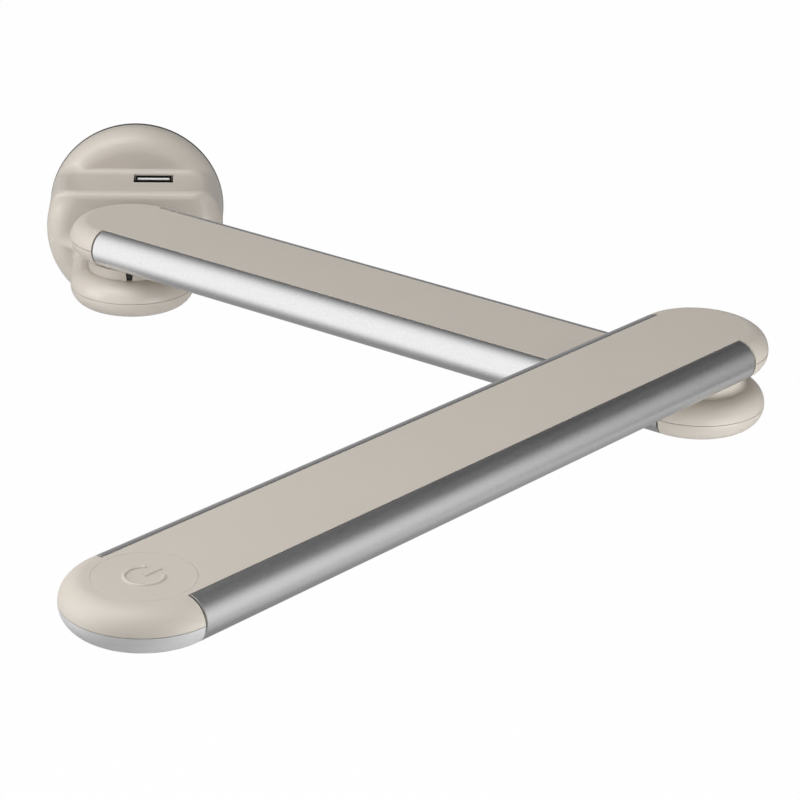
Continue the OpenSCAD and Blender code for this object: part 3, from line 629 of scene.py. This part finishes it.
def roundRun(name, end, flat):
    profile, steps = capProfile(flat, False), section["capSteps"]
    rows = [[(r * math.cos(a), r * math.sin(a), z) for r, z in profile]
            for a in (math.radians(90 + 180 * i / steps) for i in range(steps + 1))]
    rows.insert(0, [(end, r, z) for r, z in profile])
    rows.append([(end, -r, z) for r, z in profile])
    points = [p for row in rows for p in row]
    count = len(profile)
    faces = [(i * count + j, (i + 1) * count + j, (i + 1) * count + j + 1, i * count + j + 1)
             for i in range(len(rows) - 1) for j in range(count - 1)]
    faces.append(tuple(i * count for i in range(len(rows))))
    return thicken(meshPiece(name, points, faces), end)


cover = roundRun("knuckleCover", knuckle["end"], baseSizes["knuckleFlat"])
carve(cover, sinksUnder(knuckleScrews))
finishSkin(cover, knuckleFrame, "wall_base", "shellPlastic", "shell_plastic", "knuckle_cover")

# Lower arm, with the turn ring that its lower shell and the hinge cover share
turnRing = {"outer": 14.0, "inner": 7.0, "height": 0.9, "edge": 0.25, "overlap": 0.02, "steps": 96}
armScrews = {"inset": 26, "aside": 7}


def finishRingShell(piece, screws, place, body, node):
    t, r = section["halfThickness"], turnRing
    carve(piece, [drum(r["inner"], -holes["through"], 0, holes["steps"])] + sinksUnder(screws))
    soften(piece, section["edge"])
    join(piece, [lathe("turnRing", [
        (r["inner"], -t + r["overlap"]), (r["inner"], -t - r["height"]),
        (r["outer"] - r["edge"], -t - r["height"]), (r["outer"], -t - r["height"] + r["edge"]),
        (r["outer"], -t + r["overlap"])], r["steps"])])
    smooth(piece)
    finishPiece(piece, place, body, "shellPlastic", "shell_plastic", node)


lowerScrews = [(x, y) for x in (armScrews["inset"], lowerLength - armScrews["inset"])
               for y in (-armScrews["aside"], armScrews["aside"])]
lowerTop = skin("lowerArmTop", True, 0, lowerLength, True, True)
carve(lowerTop, [shaftHole(move(lowerLength, 0, 0))])
finishSkin(lowerTop, lowerFrame, "lower_arm", "armTopPlastic", "shell_plastic", "lower_arm_top_shell")
lowerBottom = skin("lowerArmBottom", False, 0, lowerLength, True, True)
finishRingShell(lowerBottom, lowerScrews, lowerFrame, "lower_arm", "lower_arm_bottom_shell")

# Light arm
light = {"hingeCover": 34.0, "buttonHole": 13.14, "holeSteps": 128}
lightScrews = [(armScrews["inset"], y) for y in (-armScrews["aside"], armScrews["aside"])]
lightTop = skin("lightArmTop", True, 0, lightLength, True, True)
carve(lightTop, [drum(light["buttonHole"], 0, holes["through"], light["holeSteps"],
                      move(lightLength, 0, 0))])
finishSkin(lightTop, lightFrame, "light_arm", "armTopPlastic", "shell_plastic", "light_arm_top_shell")
hingeCover = skin("hingeCover", False, 0, light["hingeCover"] - section["seam"], True, False)
finishRingShell(hingeCover, lightScrews, lightFrame, "light_arm", "light_arm_hinge_cover")
diffuser = skin("diffuser", False, light["hingeCover"] + section["seam"], lightLength, False, True)
finishSkin(diffuser, lightFrame, "light_arm", "diffuserPlastic", "diffuser_plastic", "diffuser")
print("arm shells ready")

# Rails, drawn along a line by Geometry Nodes
rail = {"endGap": 0.65, "edge": 0.22, "edgeAngle": 60, "arcPoints": 41}


def startTree(name, sockets):
    tree = bpy.data.node_groups.new(name, "GeometryNodeTree")
    tree.is_modifier = True
    ids = {}
    for label, kind in sockets.items():
        socket = tree.interface.new_socket(label, in_out="INPUT", socket_type="NodeSocket" + kind)
        ids[label] = socket.identifier
    tree.interface.new_socket("Geometry", in_out="OUTPUT", socket_type="NodeSocketGeometry")
    graph = Graph(tree)
    return tree, graph, ids, {label: graph.add("NodeGroupInput", {}, {}, label) for label in ids}


def endTree(graph, shape, finish):
    whole = graph.add("GeometryNodeRealizeInstances", {}, {"Geometry": shape})
    dressed = graph.add("GeometryNodeSetMaterial", {}, {"Geometry": whole, "Material": finish})
    graph.add("NodeGroupOutput", {}, {"Geometry": dressed})


def combine(graph, **parts):
    return graph.add("ShaderNodeCombineXYZ", {}, parts)


def grow(piece, tree, ids, values):
    step = piece.modifiers.new(tree.name, "NODES")
    step.node_group = tree
    for label, value in values.items():
        step[ids[label]] = value
    bake(piece)


def buildRailTree():
    tree, graph, ids, wanted = startTree("railTree", {
        "Start": "Float", "End": "Float", "Radius": "Float", "Offset": "Float", "Side": "Float",
        "Finish": "Material"})
    line = graph.add("GeometryNodeCurvePrimitiveLine", {}, {
        "Start": combine(graph, X=wanted["Start"]), "End": combine(graph, X=wanted["End"])})
    arc = graph.add("GeometryNodeCurveArc", {"mode": "RADIUS"}, {
        "Resolution": rail["arcPoints"], "Radius": wanted["Radius"], "Start Angle": math.pi / 2,
        "Sweep Angle": math.pi, "Connect Center": True})
    sweep = graph.add("GeometryNodeCurveToMesh", {}, {
        "Curve": line, "Profile Curve": arc, "Fill Caps": True})
    placed = graph.add("GeometryNodeTransform", {}, {
        "Geometry": sweep, "Rotation": combine(graph, X=(1 - wanted["Side"]) * (math.pi / 2)),
        "Translation": combine(graph, Y=wanted["Offset"] * wanted["Side"])})
    endTree(graph, placed, wanted["Finish"])
    return tree, ids


railTree, railIds = buildRailTree()


def makeRail(name, length, side, place, body, finish, node):
    piece = link(name, bpy.data.meshes.new(name))
    grow(piece, railTree, railIds, {
        "Start": rail["endGap"], "End": length - rail["endGap"], "Radius": section["halfThickness"],
        "Offset": flatHalf, "Side": float(side), "Finish": finishes[finish]})
    closeUp(piece)
    soften(piece, rail["edge"], 2, rail["edgeAngle"])
    smooth(piece)
    finishPiece(piece, place, body, finish, "brushed_rail", node)
    return piece


rails = [makeRail(*row) for row in (
    ("lowerFrontRail", lowerLength, -1, lowerFrame, "lower_arm", "lowerRail", "lower_arm_front_rail"),
    ("lowerRearRail", lowerLength, 1, lowerFrame, "lower_arm", "lowerRail", "lower_arm_rear_rail"),
    ("lightFrontRail", lightLength, 1, lightFrame, "light_arm", "lightRail", "light_arm_front_rail"),
    ("lightRearRail", lightLength, -1, lightFrame, "light_arm", "lightRail", "light_arm_rear_rail"))]
print("rails ready")

# Collars, the shoulder's with its notch and the elbow's with a flared foot
collar = {"radius": 15.0, "elbowRadius": 14.2, "height": 3.65, "edge": 0.5, "edgeSteps": 5, "foot": 1.8,
          "footSteps": 6, "steps": 160, "notchTurn": 178, "notchTop": 2.9, "notchFoot": 1.8,
          "notchDeep": 2.2, "notchOver": 1, "notchUnder": 0.01, "notchEdge": 0.12, "notchAngle": 50}


def collarOutline(radius, foot):
    t, c = section["halfThickness"], collar
    outline = [(holes["shaft"], t), (holes["shaft"], t + c["height"])]
    outline += arcPoints((radius - c["edge"], t + c["height"] - c["edge"]), c["edge"], 90, 0, c["edgeSteps"])
    if foot:
        return outline + arcPoints((radius + foot, t + foot), foot, 180, 270, c["footSteps"])
    return outline + [(radius, t)]


def notchCutter():
    t, c = section["halfThickness"], collar
    ends = ((t - c["notchUnder"], c["notchFoot"] / 2), (t + c["height"] + c["notchOver"], c["notchTop"] / 2))
    points = [(x, side * half, z) for x in (c["radius"] - c["notchDeep"], c["radius"] + c["notchOver"])
              for z, half in ends for side in (-1, 1)]
    return solidPiece("cutter", points, boxFaces, Matrix.Rotation(math.radians(c["notchTurn"]), 4, "Z"))


shoulderCollar = lathe("shoulderCollar", collarOutline(collar["radius"], 0), collar["steps"])
carve(shoulderCollar, [notchCutter()])
soften(shoulderCollar, collar["notchEdge"], 2, collar["notchAngle"])
smooth(shoulderCollar)
finishPiece(shoulderCollar, knuckleFrame, "wall_base", "shellPlastic", "shell_plastic", "shoulder_collar")
elbowCollar = lathe("elbowCollar", collarOutline(collar["elbowRadius"], collar["foot"]), collar["steps"])
smooth(elbowCollar)
finishPiece(elbowCollar, lowerFrame @ move(lowerLength, 0, 0), "lower_arm", "shellPlastic",
            "shell_plastic", "elbow_collar")

# Button with its raised power ring, which Geometry Nodes sweep along an arc and a line
button = {"radius": 13.11, "edge": 0.10, "edgeSteps": 5, "rim": 1.5, "under": 4.0, "steps": 160,
          "ringRadius": 4.9, "gap": 82, "ringSteps": 72, "stem": 5.6, "lineWidth": 1.15,
          "lineHeight": 0.50, "lineSteps": 20, "sink": 0.10, "smoothAngle": 40}


def buttonOutline():
    b, t = button, section["halfThickness"]
    return ([(0, b["under"]), (b["radius"], b["under"])]
            + arcPoints((b["radius"] - b["edge"], t - b["edge"]), b["edge"], 0, 90, b["edgeSteps"])
            + [(b["radius"] - b["rim"], t), (0, t)])


def buildLineTree():
    tree, graph, ids, wanted = startTree("raisedLineTree", {
        "Ring radius": "Float", "Gap": "Float", "Stem": "Float", "Line width": "Float",
        "Line height": "Float", "Finish": "Material"})
    ring = graph.add("GeometryNodeCurveArc", {"mode": "RADIUS"}, {
        "Resolution": button["ringSteps"], "Radius": wanted["Ring radius"],
        "Start Angle": wanted["Gap"] * 0.5 - math.pi, "Sweep Angle": 2 * math.pi - wanted["Gap"]})
    stem = graph.add("GeometryNodeCurvePrimitiveLine", {}, {
        "Start": (0.0, 0.0, 0.0), "End": combine(graph, X=wanted["Stem"] * -1.0)})
    both = graph.add("GeometryNodeJoinGeometry")
    for line in (stem, ring):
        graph.tree.links.new(line.socket, both.socket.node.inputs[0])
    circle = graph.add("GeometryNodeCurvePrimitiveCircle", {"mode": "RADIUS"}, {
        "Resolution": button["lineSteps"], "Radius": 0.5})
    lineProfile = graph.add("GeometryNodeTransform", {}, {
        "Geometry": circle,
        "Scale": combine(graph, X=wanted["Line width"], Y=wanted["Line height"] * 2.0, Z=1.0)})
    sweep = graph.add("GeometryNodeCurveToMesh", {}, {
        "Curve": both, "Profile Curve": lineProfile, "Fill Caps": True})
    endTree(graph, sweep, wanted["Finish"])
    return tree, ids


lineTree, lineIds = buildLineTree()
mark = link("mark", bpy.data.meshes.new("mark"))
grow(mark, lineTree, lineIds, {
    "Ring radius": button["ringRadius"], "Gap": math.radians(button["gap"]), "Stem": button["stem"],
    "Line width": button["lineWidth"], "Line height": button["lineHeight"],
    "Finish": finishes["shellPlastic"]})
closeUp(mark)
mark.data.transform(move(0, 0, section["halfThickness"] - button["sink"]))
powerButton = lathe("powerButton", buttonOutline(), button["steps"])
join(powerButton, [mark])
smooth(powerButton, button["smoothAngle"])
finishPiece(powerButton, lightFrame @ move(lightLength, 0, 0), "button", "armTopPlastic",
            "shell_plastic", "power_button")
print("collars and button ready")

# Screws, set on their places by Geometry Nodes
screw = {"headRadius": 2.6, "headRim": 0.12, "headEdge": 0.08, "headHeight": 1.4, "sink": 0.3,
         "shankRadius": 1.4, "tip": 0.4, "driveRadius": 1.15, "driveDepth": 0.9, "driveTaper": 0.9,
         "driveEdge": 0.06, "lobes": 6, "lobeShare": 0.13, "steps": 36}
screwLengths = {"cover": 8.2, "shell": 10.4, "tip": 5.4}
tipScrew = {"back": 40, "height": -1.2}       # inside the light arm, near the button


def screwShape(name, length):                 # head at z = 0, shank along +z, six-lobed drive
    s, count = screw, screw["steps"]
    angles = [2 * math.pi * i / count for i in range(count)]

    def lobed(radius, z):
        sizes = [radius * (1 + s["lobeShare"] * math.cos(s["lobes"] * a)) for a in angles]
        return [(size * math.cos(a), size * math.sin(a), z) for size, a in zip(sizes, angles)]

    def circle(radius, z):
        return [(radius * math.cos(a), radius * math.sin(a), z) for a in angles]

    rows = [lobed(s["driveRadius"] * s["driveTaper"], s["sink"] + s["driveDepth"]),
            lobed(s["driveRadius"], s["sink"] + s["driveEdge"]),
            lobed(s["driveRadius"] + s["driveEdge"], s["sink"]),
            circle(s["headRadius"] - s["headRim"], s["sink"]),
            circle(s["headRadius"], s["sink"] + s["headEdge"]),
            circle(s["shankRadius"], s["sink"] + s["headHeight"]),
            circle(s["shankRadius"], length - s["tip"]), circle(s["shankRadius"] - s["tip"], length)]
    faces = [tuple(range(count)), tuple(range((len(rows) - 1) * count, len(rows) * count))]
    for i in range(len(rows) - 1):
        a, b = i * count, (i + 1) * count
        faces += [(a + j, a + (j + 1) % count, b + (j + 1) % count, b + j) for j in range(count)]
    return solidPiece(name, [p for row in rows for p in row], faces)


def buildScrewTree():
    tree, graph, ids, wanted = startTree("screwTree", {
        "Places": "Geometry", "Screw": "Object", "Finish": "Material"})
    shape = graph.add("GeometryNodeObjectInfo", {}, {"Object": wanted["Screw"]}, "Geometry")
    way = graph.add("GeometryNodeInputNamedAttribute", {"data_type": "FLOAT_VECTOR"}, {"Name": "way"})
    turn = graph.add("FunctionNodeAlignRotationToVector", {"axis": "Z"}, {"Vector": way})
    placed = graph.add("GeometryNodeInstanceOnPoints", {}, {
        "Points": wanted["Places"], "Instance": shape, "Rotation": turn})
    endTree(graph, placed, wanted["Finish"])
    return tree, ids


screwTree, screwIds = buildScrewTree()


def growScrews(name, places, length):         # places of (point, way that the shank points)
    shape = screwShape("screwShape", length)
    piece = meshPiece(name, [point for point, way in places], [])
    ways = piece.data.attributes.new("way", "FLOAT_VECTOR", "POINT")
    ways.data.foreach_set("vector", [c for point, way in places for c in way])
    grow(piece, screwTree, screwIds, {"Screw": shape, "Finish": finishes["screwSteel"]})
    bpy.data.objects.remove(shape)
    return piece


def makeScrews(name, places, length, place, body, node, others=()):
    piece = growScrews(name, places, length)
    join(piece, others)
    smooth(piece)
    finishPiece(piece, place, body, "screwSteel", "screw_steel", node)


def facePlaces(screws):                       # in a lower shell's flat face
    return [((x, y, -section["halfThickness"]), (0, 0, 1)) for x, y in screws]


coverPlaces = [(coverScrewFrame(turn).translation, coverScrewFrame(turn).to_3x3() @ Vector((0, 0, 1)))
               for turn in coverScrews["turns"]]
tipPlaces = [((lightLength - tipScrew["back"], y, tipScrew["height"]), (0, 0, 1))
             for y in (-armScrews["aside"], armScrews["aside"])]
makeScrews("coverScrews", coverPlaces, screwLengths["cover"], baseFrame, "wall_base", "cover_screws")
makeScrews("knuckleScrews", facePlaces(knuckleScrews), screwLengths["shell"], knuckleFrame,
           "wall_base", "knuckle_screws")
makeScrews("lowerArmScrews", facePlaces(lowerScrews), screwLengths["shell"], lowerFrame,
           "lower_arm", "lower_arm_screws")
tipScrews = growScrews("tipScrews", tipPlaces, screwLengths["tip"])
makeScrews("lightArmScrews", facePlaces(lightScrews), screwLengths["shell"], lightFrame,
           "light_arm", "light_arm_screws", [tipScrews])
print("screws ready")

# CAD nodes that stay: their finishes
nodeFinishes = {
    "plateSteel": ["wall_plate"],
    "castMetal": ["pivot_bracket", "lower_arm_core", "light_arm_core"],
    "turnedSteel": ["shoulder_shaft", "elbow_shaft", "shoulder_nut", "elbow_nut", "shoulder_disc_spring",
                    "elbow_disc_spring"],
    "screwSteel": ["bracket_screws", "supply_board_screws", "control_board_screws"],
    "bushBronze": ["shoulder_bush", "elbow_bush", "shoulder_friction_washer", "elbow_friction_washer"],
    "washerPlastic": ["shoulder_thrust_washer", "elbow_thrust_washer", "lead_connector"],
    "stopRubber": ["collar_stop"],
    "leadJacket": ["feed_lead", "lower_arm_lead", "light_arm_lead"],
    "portMetal": ["port_shell"],
    "portPlastic": ["port_tongue"],
    "contactGold": ["port_contacts"],
    "boardGreen": ["supply_board", "control_board"],
    "boardWhite": ["led_board"],
    "ledFace": ["leds"],
    "capacitorSleeve": ["supply_capacitor"],
    "coilCopper": ["supply_coil"],
    "terminalPlastic": ["terminal_block"],
    "switchPlastic": ["tact_switch"],
}
for finish, names in nodeFinishes.items():
    for name in names:
        node = frame["nodes"][name]
        if not node.material_slots:
            node.data.materials.append(finishes[finish])
        for place in node.material_slots:
            place.material = finishes[finish]
print("CAD nodes dressed:", sum(len(names) for names in nodeFinishes.values()))

# Studio, in metres
studio = {"aim": (0.06, -0.20, 0.0), "floorHeight": -0.45, "floorHalf": 8.0, "floorPaint": 0.85,
          "floorGlow": 0.985, "worldDiffuse": 0.37, "domeRadius": 4.0}
lamps = {                                     # place, size, power
    "leftLamp": ((-0.88, -0.35, 0.24), 0.55, 4.6),
    "leftHighLamp": ((-0.62, -0.36, 0.80), 0.60, 2.5),
    "topLamp": ((-0.14, -0.42, 0.66), 0.50, 2.4),
    "rightLamp": ((1.00, -0.55, 0.34), 0.60, 0.9),
    "rightLowLamp": ((0.74, -0.52, -0.25), 0.35, 0.95),
    "elbowLamp": ((0.34, -0.50, -0.06), 0.25, 1.0),
    "leftLowLamp": ((-0.50, -0.30, -0.24), 0.35, 0.35),
}
dome = {                                      # start and end along a direction, and the level at each
    "back": (-0.05, 0.90, 1.0, 0.08), "down": (-0.88, -0.30, 0.25, 1.0),
    "right": (-0.10, 0.35, 1.0, 0.19), "floor": (-0.05, -0.75, 0.0, 1.0),
    "behindUp": (0.42, 0.12, 0.0, 1.0), "behindBack": (0.5, 0.9, 0.0, 1.0),
    "behindLevel": 0.34, "rightFloor": 0.80}
sideCard = {"x": 0.72, "low": -0.28, "high": 0.62, "near": -0.75, "far": 0.25,
            "along": (-0.46, 0.02, 0.80, 0.12), "upper": (0.12, 0.62, 1.0, 0.52),
            "lower": (-0.28, -0.05, 0.8, 1.0)}


def seenMask(graph):                          # 1 for camera, glossy and transmission rays
    seen = [graph.add("ShaderNodeLightPath", {}, {}, kind)
            for kind in ("Is Camera Ray", "Is Glossy Ray", "Is Transmission Ray")]
    return graph.add("ShaderNodeMath", {"operation": "ADD", "use_clamp": True}, {
        0: seen[0], 1: seen[1] + seen[2]})


def finishGlow(card, material, graph, level):   # light that only reflections see
    card.data.materials.append(endFinish(material, graph, graph.add("ShaderNodeEmission", {}, {
        "Color": level, "Strength": 1.0})))
    card.visible_camera = card.visible_diffuse = card.visible_shadow = False
    card.visible_transmission = card.visible_volume_scatter = False


# Floor: white to the camera from above, painted for the lamps, clear from below
half, height = studio["floorHalf"], studio["floorHeight"]
floor = meshPiece("floor", [(-half, -half, height), (half, -half, height), (half, half, height),
                            (-half, half, height)], [(0, 1, 2, 3)])
material, graph = startFinish("floorPaint")
paint = graph.add("ShaderNodeBsdfDiffuse", {}, {"Color": grey(studio["floorPaint"])})
glow = graph.add("ShaderNodeEmission", {}, {"Color": grey(1), "Strength": 1.0})
above = graph.add("ShaderNodeMixShader", {}, {
    "Fac": seenMask(graph) * studio["floorGlow"], 1: paint, 2: glow})
floor.data.materials.append(endFinish(material, graph, graph.add("ShaderNodeMixShader", {}, {
    "Fac": graph.add("ShaderNodeNewGeometry", {}, {}, "Backfacing"), 1: above,
    2: graph.add("ShaderNodeBsdfTransparent")})))
floor.visible_glossy = False

world = bpy.data.worlds.new("studio")
bpy.context.scene.world = world
world.use_nodes = True
world.node_tree.nodes.clear()
graph = Graph(world.node_tree)
graph.add("ShaderNodeOutputWorld", {}, {"Surface": graph.add("ShaderNodeBackground", {}, {
    "Color": grey(1),
    "Strength": studio["worldDiffuse"] + seenMask(graph) * (1 - studio["worldDiffuse"])})})

# What only reflections see: bright to the left and in front, darker behind, below and to the right
domePiece = link("dome", bpy.data.meshes.new("dome"))
bm = bmesh.new()
bmesh.ops.create_icosphere(bm, subdivisions=4, radius=studio["domeRadius"])
bm.to_mesh(domePiece.data)
bm.free()
material, graph = startFinish("domeLight")
wayX, wayY, wayZ = splitVector(graph, graph.add("ShaderNodeVectorMath", {"operation": "NORMALIZE"}, {
    0: objectPlace(graph)}))
back, right = ramp(graph, wayY, *dome["back"]), ramp(graph, wayX, *dome["right"])
below, down = ramp(graph, wayZ, *dome["floor"]), ramp(graph, wayZ, *dome["down"])
level = down * (back + (1 - back) * below) * (right + (1 - right) * below * dome["rightFloor"])
behind = ramp(graph, wayZ, *dome["behindUp"]) * ramp(graph, wayY, *dome["behindBack"])
finishGlow(domePiece, material, graph, level * (1 - behind) + behind * dome["behindLevel"])

# Card on the right, also for reflections alone
corners = [(sideCard[y], sideCard[z]) for y, z in (("near", "low"), ("far", "low"), ("far", "high"),
                                                   ("near", "high"))]
card = meshPiece("sideCard", [(sideCard["x"], y, z) for y, z in corners], [(0, 1, 2, 3)])
material, graph = startFinish("sideCardLight")
cardY, cardZ = splitVector(graph, objectPlace(graph))[1:]
finishGlow(card, material, graph, ramp(graph, cardY, *sideCard["along"])
           * ramp(graph, cardZ, *sideCard["upper"]) * ramp(graph, cardZ, *sideCard["lower"]))

# The lamps light everything but the brushed rails, which mirror the dome and the card
lampLinks = bpy.data.collections.new("lampLinks")
for piece in rails:
    lampLinks.objects.link(piece)
for entry in lampLinks.collection_objects:
    entry.light_linking.link_state = "EXCLUDE"


def addLamp(name, place, size, power):
    lamp = bpy.data.lights.new(name, "AREA")
    lamp.shape, lamp.size, lamp.energy = "SQUARE", size, power
    holder = link(name, lamp)
    holder.location = place
    holder.rotation_euler = (Vector(studio["aim"]) - Vector(place)).to_track_quat("-Z", "Y").to_euler()
    holder.visible_camera = False
    holder.light_linking.receiver_collection = lampLinks


for name, (place, size, power) in lamps.items():
    addLamp(name, place, size, power)

# Camera, fitted to the outlines in the photograph; its place is in millimetres
view = {"place": (34.488, -983.685, 342.801), "yaw": 3.643, "pitch": -23.0308, "roll": 1.5583,
        "focalPixels": 2862.4516, "frame": 800, "sensor": 36.0, "clip": (0.01, 50)}
camera = bpy.data.cameras.new("camera")
camera.sensor_fit, camera.sensor_width = "HORIZONTAL", view["sensor"]
camera.lens = view["focalPixels"] * view["sensor"] / view["frame"]
camera.clip_start, camera.clip_end = view["clip"]
eye = link("camera", camera)
eye.matrix_world = (Matrix.Translation(Vector(view["place"]) * mm)
                    @ Matrix.Rotation(-math.radians(view["yaw"]), 4, "Z")
                    @ Matrix.Rotation(math.radians(90 + view["pitch"]), 4, "X")
                    @ Matrix.Rotation(math.radians(view["roll"]), 4, "Z"))
bpy.context.scene.camera = eye
bpy.context.scene.view_settings.view_transform = "Standard"
print("studio and camera ready")
